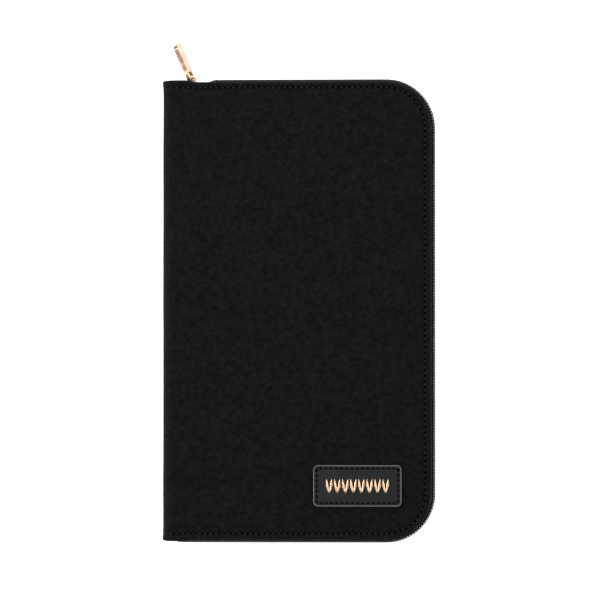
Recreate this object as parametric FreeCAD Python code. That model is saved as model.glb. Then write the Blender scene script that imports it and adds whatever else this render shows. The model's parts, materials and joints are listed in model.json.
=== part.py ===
"""A zip-round case of interchangeable knitting needle tips, closed and lying on its back cover.

Frame: millimetres, +Z up. The origin is the centre of the back cover's resting face. +X runs from the
spine to the free edge, +Y runs up the cover, and the front cover is on top. Distances called "out" are
measured outwards from the edge of the covers, so that the same section follows all three zipped sides.
"""
import FreeCAD, Part
import math
import os
from FreeCAD import Matrix, Placement, Vector

# ---------------------------------------------------------------- driving dimensions
# the case
cover_width = 141.5          # spine face to free edge
cover_length = 242.0
case_thickness = 28.0
corner_radius = 24.0         # the free corners of both covers
fold_radius = 5.0            # outer radius of the cloth where a cover turns into the spine

# the layers of a cover, from the outside in
skin_thickness = 1.0         # faux suede on a thin foam
hem_thickness = 1.0          # the skin turned in over the edge
hem_width = 5.0
board_thickness = 1.6
lining_thickness = 0.5
lining_inset = 3.0

# the zip round three sides
tape_thickness = 0.6
coil_thickness = 2.0
coil_width = 2.8
coil_proud = 1.7             # outer face of the coil, out from the cover's edge
park_dip = 2.7               # how far the chain dips where the slider parks, beside the spine
chain_gap = 1.2              # between the two coil halves, room for the slider's web
tape_short = 0.5             # the tape's edge lies this far under the coil's free edge
bend_below_coil = 1.1        # a dipped tape turns upright this far below its coil
dip_spare = 3.8              # the dip's straight stretch is this much longer than the slider
ramp_length = 6.0
end_tab_width = 3.0
end_tab_lap = 1.3            # how far a tab reaches past the fold, into the spine's end
end_tab_proud = 0.7
end_tab_clearance = 0.2      # above the fold's cloth
stop_length = 1.6

# slider and pull
slider_length = 10.0
slider_nose_half = 4.5
slider_tail_half = 4.3
slider_tip_half = 2.9        # the blunt front edge, between the bevels of the nose
nose_bevel = 1.6
nose_length = 4.4
web_start = 0.3              # the web behind the front edge
web_length = 3.5
outer_plate = 1.1
inner_plate = 0.95
plate_clearance = 0.15
web_thickness = 0.8
lip_width = 0.6
park_clearance = 0.4         # nose to the stop
crown_length = 5.6
crown_width = 2.0
crown_bar = 0.8
crown_window = 3.1
window_height = 2.8
pivot_height = 1.6           # pull's pin above the outer plate
pull_length = 21.0           # pin to tip
pull_lean = 22.5             # degrees, from +Y towards the spine
pull_twist = 20.0            # degrees, the loose pull turns about its own length
pull_thickness = 2.4
eye_thickness = 1.8
pin_radius = 0.75
eye_half = 3.5
slot_half = 2.4
slot_end = 4.4
neck_half = 2.8
tip_half = 3.6

# label
label_length = 46.6
label_height = 21.8
label_thickness = 1.0
label_from_edge = 15.5
label_from_foot = 17.5
label_radius = 2.5
foil_thickness = 0.12
emblem_length = 34.0
emblem_height = 7.6
emblem_stitches = 8

# needle tips, as pairs laid side by side
tip_sizes = [3.5, 4.0, 4.5, 5.0, 5.5, 6.0, 7.0, 8.0]
tip_length = 130.0
tip_gap = 2.2
row_shift = -2.0             # the row lies a little towards the spine, clear of the round corners
row_lift = 0.625             # of the corner radius, so that the row clears the round corners
ferrule_length = 14.0
ferrule_diameter = 3.3
socket_diameter = 2.2
socket_depth = 6.0
key_hole_diameter = 0.9
shoulder_length = 9.0
point_length = 15.0
point_radius = 0.6
sleeve_clearance = 0.25
sleeve_wall = 0.6

# holders in the back half
panel_thickness = 0.8
panel_inset = 4.5
pocket_margin = 2.0          # cloth below the ferrules
pocket_length = 58.0
pocket_hem = 3.0
cloth_margin = 1.5           # flat cloth beyond the last sleeve on each side
band_from_foot = 91.0        # from the ferrules' ends up to the band
band_width = 15.0

# pockets in the front half
pocket_from_fold = 13.5
pocket_from_free = 10.5
binding_width = 5.0
window_thickness = 0.4
cable_pocket_from_foot = 8.0
cable_pocket_depth = 1.6
pocket_tape_width = 6.0
pocket_chain_gap = 1.2
pocket_coil_width = 1.7
pocket_coil_thickness = 1.4
pocket_slider_length = 7.0
pocket_slider_plate = 0.8
pocket_pull_length = 15.0
pouch_from_head = 15.0
pouch_length = 76.0
pouch_hem = 3.0
zip_to_pouch = 8.8           # lining between the zip's tape and the pouch
pouch_depth = 6.4

# small parts in the pouch
cap_diameter = 9.0
cap_thickness = 3.0
cap_stem = 2.5
cap_pitch = 12.0
connector_length = 26.0
key_shank = 26.0
key_wire = 1.2
key_ring_radius = 3.0

# ---------------------------------------------------------------- places worked out from them
spine_x = -cover_width / 2
free_x = cover_width / 2
fold_x = spine_x + fold_radius
half_length = cover_length / 2
middle_z = case_thickness / 2
cover_thickness = skin_thickness + board_thickness + lining_thickness
floor_z = cover_thickness
ceiling_z = case_thickness - cover_thickness
corner_x = free_x - corner_radius
corner_y = half_length - corner_radius

# the zip's section, as distances out from the cover's edge
tape_out = coil_proud - coil_thickness
coil_edge_z = middle_z - chain_gap / 2
coil_base_z = coil_edge_z - coil_width
tape_edge_z = coil_edge_z - tape_short
tape_foot_z = skin_thickness + hem_thickness
wall_bend = coil_base_z - bend_below_coil
end_tab_x = fold_x - end_tab_lap
zip_start_x = end_tab_x + end_tab_width
coil_start_x = zip_start_x + stop_length
dip_end_x = zip_start_x + slider_length + dip_spare
ramp_end_x = dip_end_x + ramp_length

# the parked slider
slider_x = coil_start_x + park_clearance + slider_length / 2
plate_foot = coil_proud - park_dip + plate_clearance
plate_top = plate_foot + outer_plate
pivot = Vector(slider_x, half_length + plate_top + pivot_height, middle_z)

# the holders
tips_centre_x = (fold_x + free_x) / 2 + row_shift
tips_foot_y = row_lift * corner_radius - half_length
pocket_foot_y = tips_foot_y - pocket_margin
band_y = tips_foot_y + band_from_foot
pocket_left = fold_x + pocket_from_fold
pocket_right = free_x - pocket_from_free
pouch_top = half_length - pouch_from_head
pouch_foot = pouch_top - pouch_length
cable_pocket_top = pouch_foot - zip_to_pouch - 2 * pocket_tape_width - pocket_chain_gap
cable_pocket_foot = cable_pocket_from_foot - half_length


# ---------------------------------------------------------------- small tools
def save(name, shape):
    """Write one sub-part as parts/NAME.step."""
    shape.exportStep("parts/" + name + ".step")


def box(x0, x1, y0, y1, z0, z1):
    """A box between two corners."""
    return Part.makeBox(x1 - x0, y1 - y0, z1 - z0, Vector(x0, y0, z0))


def polygon_face(points):
    """A flat face round a closed run of points."""
    return Part.Face(Part.makePolygon(points + points[:1]))


def fused(shapes):
    """Join touching solids into one and merge the faces that run on."""
    return shapes[0].multiFuse(shapes[1:]).removeSplitter()


def to_front(shape):
    """The front half's copy of a piece of the back half."""
    return shape.mirror(Vector(0, 0, middle_z), Vector(0, 0, 1))


def save_pair(name, shape):
    """Save a back-half piece and its mirrored front-half partner."""
    save("back_" + name, shape)
    save("front_" + name, to_front(shape))


def rounded_plate(x0, x1, y0, y1, z0, z1, radius):
    """A plate with four rounded corners."""
    plate = box(x0, x1, y0, y1, z0, z1)
    uprights = [e for e in plate.Edges if abs(e.tangentAt(e.FirstParameter).z) > 0.99]
    return plate.makeFillet(radius, uprights)


def cover_plate(inset, z0, z1, spine_side):
    """A plate of the cover's outline, drawn in by inset on the zipped sides, from spine_side on."""
    plate = box(spine_side, free_x - inset, inset - half_length, half_length - inset, z0, z1)
    corners = [
        e for e in plate.Edges
        if abs(e.tangentAt(e.FirstParameter).z) > 0.99 and e.CenterOfMass.x > corner_x
    ]
    return plate.makeFillet(corner_radius - inset, corners)


# ---------------------------------------------------------------- covers, spine and folds
def cover_skin():
    """Outer cloth with its edge turned in over the board on the three zipped sides."""
    sheet = cover_plate(0, 0, skin_thickness, fold_x)
    hem = cover_plate(0, skin_thickness, tape_foot_z, fold_x)
    opening = cover_plate(hem_width, skin_thickness, tape_foot_z, fold_x - 1)
    return fused([sheet, hem.cut(opening)])


def make_covers():
    board_top = skin_thickness + board_thickness
    save_pair("cover_skin", cover_skin())
    save_pair("cover_board", cover_plate(hem_width, skin_thickness, board_top, fold_x))
    save_pair("cover_lining", cover_plate(lining_inset, board_top, floor_z, fold_x))


def make_spine():
    z0 = fold_radius
    z1 = case_thickness - fold_radius
    board_x = spine_x + skin_thickness
    lining_x = board_x + board_thickness
    save("spine_skin", box(spine_x, board_x, -half_length, half_length, z0, z1))
    save("spine_board", box(board_x, lining_x, -half_length, half_length, z0, z1))
    inner_x = lining_x + lining_thickness
    end_y = half_length - lining_inset
    save("spine_lining", box(lining_x, inner_x, -end_y, end_y, z0, z1))


def make_folds():
    """The cloth hinges between spine and covers: quarter rings along the whole spine."""
    start = Vector(fold_x, -half_length, fold_radius)
    along = Vector(0, 1, 0)
    outer = Part.makeCylinder(fold_radius, cover_length, start, along)
    inner = Part.makeCylinder(fold_radius - cover_thickness, cover_length, start, along)
    quarter = box(spine_x, fold_x, -half_length, half_length, 0, fold_radius)
    save_pair("fold_strip", outer.cut(inner).common(quarter))


# ---------------------------------------------------------------- the zip
def section(points, x):
    """A zip section, (out, z) points, stood across the top edge at x."""
    return polygon_face([Vector(x, half_length + out, z) for out, z in points])


def along_rim(points, dipped, x0):
    """Carry a zip section round the three open sides, dipping beside the spine where the slider parks."""
    centre = Vector(corner_x, corner_y, 0)
    down = Vector(0, 0, -1)
    first = section(points, corner_x)
    at_right = section(points, corner_x)
    at_right.rotate(centre, down, 90)
    at_foot = section(points, corner_x)
    at_foot.rotate(centre, down, 180)
    straight = 2 * corner_y
    at_foot.translate(Vector(0, -straight, 0))
    lower_corner = at_right.copy()
    lower_corner.translate(Vector(0, -straight, 0))
    low_centre = Vector(corner_x, -corner_y, 0)
    ramp_ends = [section(dipped, dip_end_x).OuterWire, section(points, ramp_end_x).OuterWire]
    ramp = Part.makeLoft(ramp_ends, True, True)
    return fused([
        section(dipped, x0).extrude(Vector(dip_end_x - x0, 0, 0)),
        ramp,
        section(points, ramp_end_x).extrude(Vector(corner_x - ramp_end_x, 0, 0)),
        first.revolve(centre, down, 90),
        at_right.extrude(Vector(0, -straight, 0)),
        lower_corner.revolve(low_centre, down, 90),
        at_foot.extrude(Vector(x0 - corner_x, 0, 0)),
    ])


def tape_section(dip):
    """One zip tape: a flange sewn under the lining and a wall that stands up to the chain."""
    out = tape_out - dip
    inner = out - tape_thickness
    flange_z = tape_foot_z + tape_thickness
    return [
        (-hem_width, tape_foot_z), (tape_out, tape_foot_z), (out, wall_bend), (out, tape_edge_z),
        (inner, tape_edge_z), (inner, wall_bend),
        (tape_out - tape_thickness, flange_z), (-hem_width, flange_z),
    ]


def coil_section(dip):
    """One coil half on the tape's outer face, with its outer edges eased."""
    out = tape_out - dip
    top = out + coil_thickness
    ease = coil_thickness / 4
    return [
        (out, coil_base_z), (top - ease, coil_base_z), (top, coil_base_z + ease),
        (top, coil_edge_z - ease), (top - ease, coil_edge_z), (out, coil_edge_z),
    ]


def make_zip():
    save_pair("zip_tape", along_rim(tape_section(0), tape_section(park_dip), zip_start_x))
    save_pair("zip_coil", along_rim(coil_section(0), coil_section(park_dip), coil_start_x))
    # a stop crimped on each end of the coil
    parked = coil_section(park_dip)
    at_head = section(parked, zip_start_x).extrude(Vector(stop_length, 0, 0))
    at_foot = section(coil_section(0), zip_start_x).extrude(Vector(stop_length, 0, 0))
    at_foot = at_foot.mirror(Vector(0, 0, 0), Vector(0, 1, 0))
    save_pair("zip_stops", Part.makeCompound([at_head, at_foot]))
    # the folded tape ends, which close the corners beside the spine
    tab_foot = fold_radius + end_tab_clearance
    inner_y = half_length + tape_out - park_dip - tape_thickness
    outer_y = half_length + end_tab_proud
    head_tab = box(end_tab_x, zip_start_x, inner_y, outer_y, coil_base_z, coil_edge_z)
    gusset = box(end_tab_x, zip_start_x, inner_y, half_length + tape_out, tab_foot, coil_base_z)
    tab = fused([head_tab, gusset])
    save_pair("zip_end_tabs", Part.makeCompound([tab, tab.mirror(Vector(0, 0, 0), Vector(0, 1, 0))]))


def plate_outline(y):
    """The slider's plate seen from outside, at height y out from the case."""
    nose = slider_x - slider_length / 2
    tail = slider_x + slider_length / 2
    half = [
        (nose, slider_tip_half), (nose + nose_bevel, slider_nose_half),
        (nose + nose_length, slider_nose_half), (tail, slider_tail_half),
    ]
    upper = [Vector(x, y, middle_z + z) for x, z in half]
    lower = [Vector(x, y, middle_z - z) for x, z in reversed(half)]
    return polygon_face(upper + lower)


def make_slider():
    """Two plates joined by the web at the nose, with a lip round the back half's tape only."""
    edge_y = half_length
    tape_face = edge_y + tape_out - park_dip
    outer = plate_outline(edge_y + plate_foot).extrude(Vector(0, outer_plate, 0))
    inner_top = tape_face - tape_thickness - plate_clearance
    inner = plate_outline(inner_top - inner_plate).extrude(Vector(0, inner_plate, 0))
    nose = slider_x - slider_length / 2
    tail = slider_x + slider_length / 2
    half_web = web_thickness / 2
    web_x = nose + web_start
    web = box(
        web_x, web_x + web_length, inner_top, edge_y + plate_foot,
        middle_z - half_web, middle_z + half_web,
    )
    lip_z = middle_z - slider_tail_half
    lip_foot = tape_face + plate_clearance
    lip = box(nose + nose_bevel, tail, lip_foot, edge_y + plate_foot, lip_z, lip_z + lip_width)
    save("zip_slider_body", fused([outer, inner, web, lip]))


def make_crown():
    """The arch on the slider that carries the pull."""
    y0 = half_length + plate_top
    top = window_height + crown_bar
    back = slider_x - crown_length / 2
    front = slider_x + crown_length / 2
    outline = [
        (back, 0), (back + 0.2, top - 1.2), (back + 1.2, top),
        (front - 1.2, top), (front - 0.2, top - 1.2), (front, 0),
    ]
    side = polygon_face([Vector(x, y0 + y, middle_z - crown_width / 2) for x, y in outline])
    arch = side.extrude(Vector(0, 0, crown_width))
    half = crown_window / 2
    window = box(
        slider_x - half, slider_x + half, y0, y0 + window_height,
        middle_z - crown_width, middle_z + crown_width,
    )
    corners = [
        e for e in window.Edges
        if abs(e.tangentAt(e.FirstParameter).z) > 0.99 and e.CenterOfMass.y > y0 + 1
    ]
    save("zip_slider_crown", arch.cut(window.makeFillet(0.7, corners)))


def make_pull():
    """A flared bar with an eye: drawn flat, pin at the origin and length along +Y, then hung."""
    half_thick = pull_thickness / 2
    half_eye = eye_thickness / 2
    side = [
        (eye_half, 0), (eye_half, slot_end - 0.8),
        (neck_half, slot_end + 1.4), (tip_half, pull_length - tip_half),
    ]
    arc_top = Vector(0, pull_length, -half_thick)
    right = [Vector(x, y, -half_thick) for x, y in side]
    left = [Vector(-x, y, -half_thick) for x, y in side]
    edges = [Part.makeLine(a, b) for a, b in zip(right, right[1:])]
    edges.append(Part.Arc(right[-1], arc_top, left[-1]).toShape())
    edges += [Part.makeLine(a, b) for a, b in zip(left[::-1], left[-2::-1])]
    edges.append(Part.makeLine(left[0], right[0]))
    bar = Part.Face(Part.Wire(edges)).extrude(Vector(0, 0, pull_thickness))
    # the eye is thinner than the bar, and round about the pin
    for sign in (-1, 1):
        shave = box(-eye_half - 1, eye_half + 1, -1, slot_end, half_eye, half_thick + 1)
        if sign < 0:
            shave = shave.mirror(Vector(0, 0, 0), Vector(0, 0, 1))
        bar = bar.cut(shave)
    across = Vector(1, 0, 0)
    knuckle = Part.makeCylinder(half_eye, 2 * eye_half, Vector(-eye_half, 0, 0), across)
    slot = box(-slot_half, slot_half, -2, slot_end, -2, 2)
    slot_corners = [
        e for e in slot.Edges
        if abs(e.tangentAt(e.FirstParameter).z) > 0.99 and e.CenterOfMass.y > 0
    ]
    slot = slot.makeFillet(0.9, slot_corners)
    pin = Part.makeCylinder(pin_radius, 2 * slot_half, Vector(-slot_half, 0, 0), across)
    pull = fused([bar.fuse(knuckle).cut(slot), pin])
    # hang it: the pin's line leans out of +Z by the twist, the bar leans towards the spine
    lean = math.radians(pull_lean)
    twist = math.radians(pull_twist)
    along = Vector(-math.sin(lean), math.cos(lean), 0)
    beside = Vector(math.cos(lean), math.sin(lean), 0)
    pin_line = Vector(0, 0, math.cos(twist)) - beside * math.sin(twist)
    face = pin_line.cross(along)
    turn = Matrix(
        pin_line.x, along.x, face.x, pivot.x,
        pin_line.y, along.y, face.y, pivot.y,
        pin_line.z, along.z, face.z, pivot.z,
        0, 0, 0, 1,
    )
    pull.Placement = Placement(turn)
    save("zip_puller", pull)


# ---------------------------------------------------------------- label
def make_label():
    """A leather-look patch sewn on the front, and a foil row of knit stitches pressed into it."""
    x1 = free_x - label_from_edge
    x0 = x1 - label_length
    y0 = label_from_foot - half_length
    y1 = y0 + label_height
    top = case_thickness + label_thickness
    save("label_patch", rounded_plate(x0, x1, y0, y1, case_thickness, top, label_radius))
    pitch = emblem_length / emblem_stitches
    reach = 0.43 * pitch
    foot = (y0 + y1 - emblem_height) / 2
    rise = emblem_height * 0.45
    legs = []
    for number in range(emblem_stitches):
        centre = (x0 + x1 - emblem_length) / 2 + pitch * (number + 0.5)
        for side in (-1, 1):
            near = centre + side * 0.1
            far = centre + side * reach
            head = foot + emblem_height
            corners = [(near, foot), (near, foot + rise), (far, head), (far, head - rise)]
            leg = polygon_face([Vector(x, y, top) for x, y in corners])
            legs.append(leg.extrude(Vector(0, 0, foil_thickness)))
    save("label_emblem", Part.makeCompound(legs))


# ---------------------------------------------------------------- needle tips and their holders
def tip_places():
    """(size, centre x) of every tip, two of each size, from the spine outwards."""
    diameters = [size for size in tip_sizes for _ in (0, 1)]
    total = sum(diameters) + tip_gap * (len(diameters) - 1)
    x = tips_centre_x - total / 2
    places = []
    for size in diameters:
        places.append((size, x + size / 2))
        x += size + tip_gap
    return places


def tip_height(size):
    """Height of a tip's axis, lying in its sleeve."""
    return floor_z + panel_thickness + sleeve_clearance + size / 2


def turned(points, x, z):
    """A turned piece: (radius, y) points spun about the line through x and z."""
    face = polygon_face([Vector(x + radius, y, z) for radius, y in points])
    return face.revolve(Vector(x, 0, z), Vector(0, 1, 0), 360)


def tip_shaft(size, x):
    """Wooden shaft: shoulder down to the ferrule, straight barrel, long taper and a blunt point."""
    foot = tips_foot_y + ferrule_length
    head = tips_foot_y + tip_length
    radius = size / 2
    points = [
        (0, foot), (ferrule_diameter / 2, foot), (radius, foot + shoulder_length),
        (radius, head - point_length), (radius * 0.72, head - point_length * 0.45),
        (point_radius, head - point_radius), (point_radius * 0.5, head), (0, head),
    ]
    return turned(points, x, tip_height(size))


def tip_ferrule(size, x):
    """Metal ferrule with a threaded socket and the cross hole for the tightening key."""
    z = tip_height(size)
    radius = ferrule_diameter / 2
    points = [(0, tips_foot_y), (radius - 0.3, tips_foot_y), (radius, tips_foot_y + 0.3)]
    points += [(radius, tips_foot_y + ferrule_length), (0, tips_foot_y + ferrule_length)]
    ferrule = turned(points, x, z)
    along = Vector(0, 1, 0)
    socket = Part.makeCylinder(socket_diameter / 2, socket_depth, Vector(x, tips_foot_y, z), along)
    hole_y = tips_foot_y + socket_depth + 2.5
    hole_foot = Vector(x, hole_y, z - size / 2 - 1)
    hole = Part.makeCylinder(key_hole_diameter / 2, size + 2, hole_foot)
    return ferrule.cut(socket).cut(hole)


def make_tips():
    for size in tip_sizes:
        pair = [x for diameter, x in tip_places() if diameter == size]
        name = "tips_%02d_" % round(size * 10)
        save(name + "shafts", Part.makeCompound([tip_shaft(size, x) for x in pair]))
        save(name + "ferrules", Part.makeCompound([tip_ferrule(size, x) for x in pair]))


def row_sides():
    """Left and right edges of the cloth that holds the row of tips."""
    places = tip_places()
    sleeve = sleeve_clearance + sleeve_wall + cloth_margin
    return places[0][1] - places[0][0] / 2 - sleeve, places[-1][1] + places[-1][0] / 2 + sleeve


def sleeve_row(y0, y1):
    """Cloth sleeves round the whole row of tips, joined by the flat cloth sewn down between them."""
    base = floor_z + panel_thickness
    length = y1 - y0
    along = Vector(0, 1, 0)
    x0, x1 = row_sides()
    row = [box(x0, x1, y0, y1, base, base + sleeve_wall)]
    hollows = []
    for size, x in tip_places():
        z = tip_height(size)
        for reach, shapes in ((sleeve_clearance + sleeve_wall, row), (sleeve_clearance, hollows)):
            radius = size / 2 + reach
            shapes.append(Part.makeCylinder(radius, length, Vector(x, y0, z), along))
            shapes.append(box(x - radius, x + radius, y0, y1, base, z))
    everything = fused(row).cut(fused(hollows))
    above = box(spine_x, free_x, y0, y1, base, middle_z)
    return everything.common(above).removeSplitter()


def make_holders():
    base = floor_z + panel_thickness
    save("needle_panel", cover_plate(panel_inset, floor_z, base, fold_x + 1))
    sleeves = sleeve_row(pocket_foot_y, pocket_foot_y + pocket_length)
    x0, x1 = row_sides()
    hem = box(x0, x1, pocket_foot_y - pocket_hem, pocket_foot_y, base, base + 2 * sleeve_wall)
    save("needle_pocket", fused([sleeves, hem]))
    save("needle_band", sleeve_row(band_y, band_y + band_width))


# ---------------------------------------------------------------- pockets of the front half
def make_cable_pocket():
    """A flat clear pocket for the cables, bound on three sides, with a zip along its top."""
    window_z = ceiling_z - cable_pocket_depth
    x0, x1 = pocket_left, pocket_right
    y0, y1 = cable_pocket_foot, cable_pocket_top
    window = box(x0 + binding_width, x1 - binding_width, y0 + binding_width, y1,
                 window_z - window_thickness, window_z)
    save("cable_pocket_window", window)
    outer = box(x0, x1, y0, y1, window_z - window_thickness, ceiling_z)
    hollow = box(x0 + binding_width, x1 - binding_width, y0 + binding_width, y1 + 1,
                 window_z - window_thickness, ceiling_z)
    save("cable_pocket_binding", outer.cut(hollow))


def make_pocket_zip():
    """The cable pocket's zip: two tapes, two coil halves, and a slider with its pull lying flat."""
    x0, x1 = pocket_left, pocket_right
    seam = cable_pocket_top + pocket_tape_width
    tape_top = ceiling_z - cable_pocket_depth
    tape_low = tape_top - tape_thickness
    coil_low = tape_low - pocket_coil_thickness
    centre = seam + pocket_chain_gap / 2
    tapes = []
    coils = []
    for side in (-1, 1):
        near = centre + side * pocket_chain_gap / 2
        tape_ends = sorted((near, near + side * pocket_tape_width))
        coil_ends = sorted((near, near + side * pocket_coil_width))
        tapes.append(box(x0, x1, *tape_ends, tape_low, tape_top))
        coils.append(box(x0 + 4, x1 - 4, *coil_ends, coil_low, tape_low))
    upper_edge = centre + pocket_chain_gap / 2
    facing = box(x0, x1, upper_edge + 1.5, upper_edge + pocket_tape_width, tape_top, ceiling_z)
    tapes[1] = fused([tapes[1], facing])
    save("pocket_zip_tape", Part.makeCompound(tapes))
    save("pocket_zip_coil", Part.makeCompound(coils))
    # the slider parks at the spine end of its zip
    nose = x0 + 6
    tail = nose + pocket_slider_length
    half = pocket_chain_gap / 2 + pocket_coil_width + 0.9
    face_z = coil_low - plate_clearance
    low_z = face_z - pocket_slider_plate
    rear = tape_top + plate_clearance
    face_plate = rounded_plate(nose, tail, centre - half, centre + half, low_z, face_z, 1.0)
    rear_plate = rounded_plate(nose, tail, centre - half + 0.6, centre + half - 2.3,
                               rear, rear + pocket_slider_plate, 1.0)
    half_web = web_thickness / 2
    web = box(nose + 0.4, nose + 2.8, centre - half_web, centre + half_web, face_z, rear)
    bail = box(nose + 1.6, tail - 1.6, centre - 0.9, centre + 0.9, low_z - 1.9, low_z)
    eye = box(nose + 2.5, tail - 2.5, centre - 1, centre + 1, low_z - 1.2, low_z)
    save("pocket_zip_slider", fused([face_plate, rear_plate, web, bail.cut(eye)]))
    # the pull lies along the chain, looped under the bail
    pull_z = low_z - 1.05
    pin_x = (nose + tail) / 2
    bar = rounded_plate(pin_x + 2.2, pin_x + pocket_pull_length, centre - 2.2, centre + 2.2,
                        pull_z - 0.75, pull_z + 0.05, 1.4)
    pin = Part.makeCylinder(0.4, 5.0, Vector(pin_x, centre - 2.5, pull_z + 0.35), Vector(0, 1, 0))
    arms = [
        box(pin_x - 0.4, pin_x + 3.4, y - 0.5, y + 0.5, pull_z - 0.75, pull_z + 0.75)
        for y in (centre - 2.0, centre + 2.0)
    ]
    save("pocket_zip_puller", fused([bar, pin] + arms))


def make_pouch():
    """A deeper clear pouch for the small parts, open at its top edge."""
    x0, x1 = pocket_left, pocket_right
    low = ceiling_z - pouch_depth
    window = box(x0, x1, pouch_foot, pouch_top, low - window_thickness, low)
    save("pouch_window", window)
    outer = box(x0, x1, pouch_foot, pouch_top, low, ceiling_z)
    hem = pouch_hem
    hollow = box(x0 + hem, x1 - hem, pouch_foot + hem, pouch_top + 1, low, ceiling_z)
    save("pouch_binding", outer.cut(hollow))


def make_small_parts():
    """End caps, connectors and tightening keys, lying in the pouch."""
    lie_z = ceiling_z - 0.2
    caps = []
    for column in range(4):
        for row in range(2):
            x = pocket_left + cap_pitch * (column + 1)
            at = Vector(x, pouch_foot + cap_pitch * (row + 1), lie_z - cap_thickness)
            button = Part.makeCylinder(cap_diameter / 2, cap_thickness, at)
            button = button.makeFillet(0.7, button.Edges[:1])
            stem = Part.makeCylinder(ferrule_diameter / 2, cap_stem, at - Vector(0, 0, cap_stem))
            caps.append(button.fuse(stem))
    save("end_caps", Part.makeCompound(caps))
    radius = ferrule_diameter / 2
    connector_x = pocket_left + 12 + 4 * cap_pitch
    connectors = []
    for number in range(3):
        start = Vector(connector_x + number * 6, pouch_foot + 8, lie_z - radius)
        rod = Part.makeCylinder(radius, connector_length, start, Vector(0, 1, 0))
        near = Part.makeCylinder(socket_diameter / 2, socket_depth, start, Vector(0, 1, 0))
        far_start = start + Vector(0, connector_length - socket_depth, 0)
        far = Part.makeCylinder(socket_diameter / 2, socket_depth, far_start, Vector(0, 1, 0))
        connectors.append(rod.cut(near).cut(far))
    save("cable_connectors", Part.makeCompound(connectors))
    keys = []
    for number in range(4):
        start = Vector(connector_x + 22 + number * 7, pouch_foot + 8, lie_z - key_wire)
        shank = Part.makeCylinder(key_wire / 2, key_shank, start, Vector(0, 1, 0))
        ring_centre = start + Vector(0, key_shank + key_ring_radius, 0)
        ring = Part.makeTorus(key_ring_radius, key_wire / 2, ring_centre)
        keys.append(shank.fuse(ring))
    save("cable_keys", Part.makeCompound(keys))


# ---------------------------------------------------------------- the whole set
os.makedirs("parts", exist_ok=True)
make_covers()
make_spine()
make_folds()
make_zip()
make_slider()
make_crown()
make_pull()
make_label()
make_tips()
make_holders()
make_cable_pocket()
make_pocket_zip()
make_pouch()
make_small_parts()
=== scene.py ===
"""A zip-round case of interchangeable knitting needle tips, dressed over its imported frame."""
import bmesh
import bpy
import json
import math
from mathutils import Matrix, Vector, noise

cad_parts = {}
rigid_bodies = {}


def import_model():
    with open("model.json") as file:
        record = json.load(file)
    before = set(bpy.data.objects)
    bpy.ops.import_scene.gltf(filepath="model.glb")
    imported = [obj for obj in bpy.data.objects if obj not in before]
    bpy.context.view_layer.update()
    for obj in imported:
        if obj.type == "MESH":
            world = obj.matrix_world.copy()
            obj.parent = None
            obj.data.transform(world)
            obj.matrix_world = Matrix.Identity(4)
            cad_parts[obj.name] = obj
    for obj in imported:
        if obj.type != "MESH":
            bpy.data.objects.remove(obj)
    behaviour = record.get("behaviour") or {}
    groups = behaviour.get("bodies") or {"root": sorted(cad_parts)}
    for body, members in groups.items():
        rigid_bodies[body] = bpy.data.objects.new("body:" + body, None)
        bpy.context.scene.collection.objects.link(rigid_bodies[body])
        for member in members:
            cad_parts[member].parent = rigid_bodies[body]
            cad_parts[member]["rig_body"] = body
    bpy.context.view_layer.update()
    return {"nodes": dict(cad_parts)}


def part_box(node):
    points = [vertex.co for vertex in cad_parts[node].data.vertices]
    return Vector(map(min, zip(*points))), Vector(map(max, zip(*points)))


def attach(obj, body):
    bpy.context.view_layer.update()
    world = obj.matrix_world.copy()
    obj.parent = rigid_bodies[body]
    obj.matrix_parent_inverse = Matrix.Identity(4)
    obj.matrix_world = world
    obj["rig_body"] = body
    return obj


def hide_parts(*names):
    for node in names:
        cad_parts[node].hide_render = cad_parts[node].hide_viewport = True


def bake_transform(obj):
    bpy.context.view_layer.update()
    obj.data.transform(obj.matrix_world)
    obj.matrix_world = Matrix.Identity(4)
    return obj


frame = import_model()


# ---- The table, the light and the eye
# A pale light table with soft lights low on all four sides and one overhead, seen from almost straight above
# through a long lens. The eye leans a little towards the zip's side, so that the side of the chain shows.
mm = 0.001
scene = bpy.context.scene
scene.view_settings.view_transform = "Standard"
look_at = Vector((1.6, 5.5, 28.0)) * mm
side_lean = math.radians(3.3)
foot_lean = math.radians(1.0)
eye_distance = 2.5
away = Vector((math.sin(side_lean), -math.sin(foot_lean), math.cos(side_lean))).normalized()
right = Vector((0, 1, 0)).cross(away).normalized()
eye = bpy.data.objects.new("eye", bpy.data.cameras.new("eye"))
eye.data.lens = 284.0
eye.data.sensor_width = 36.0
eye.data.clip_end = 20.0
eye.matrix_world = Matrix.Translation(look_at + away * eye_distance) @ Matrix(
    (right, away.cross(right), away)
).transposed().to_4x4()
scene.collection.objects.link(eye)
scene.camera = eye


def add(tree, kind, inputs=None, **settings):
    """Add one shader node; inputs are constants or the sockets that feed them."""
    made = tree.nodes.new("ShaderNode" + kind)
    for name, value in settings.items():
        setattr(made, name, value)
    for name, value in (inputs or {}).items():
        if isinstance(value, bpy.types.NodeSocket):
            tree.links.new(value, made.inputs[name])
        else:
            made.inputs[name].default_value = value
    return made


def shade(code):
    """A colour from its sRGB hex code."""
    parts = [int(code[i:i + 2], 16) / 255 for i in (1, 3, 5)]
    return [p / 12.92 if p <= 0.04045 else ((p + 0.055) / 1.055) ** 2.4 for p in parts] + [1.0]


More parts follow.
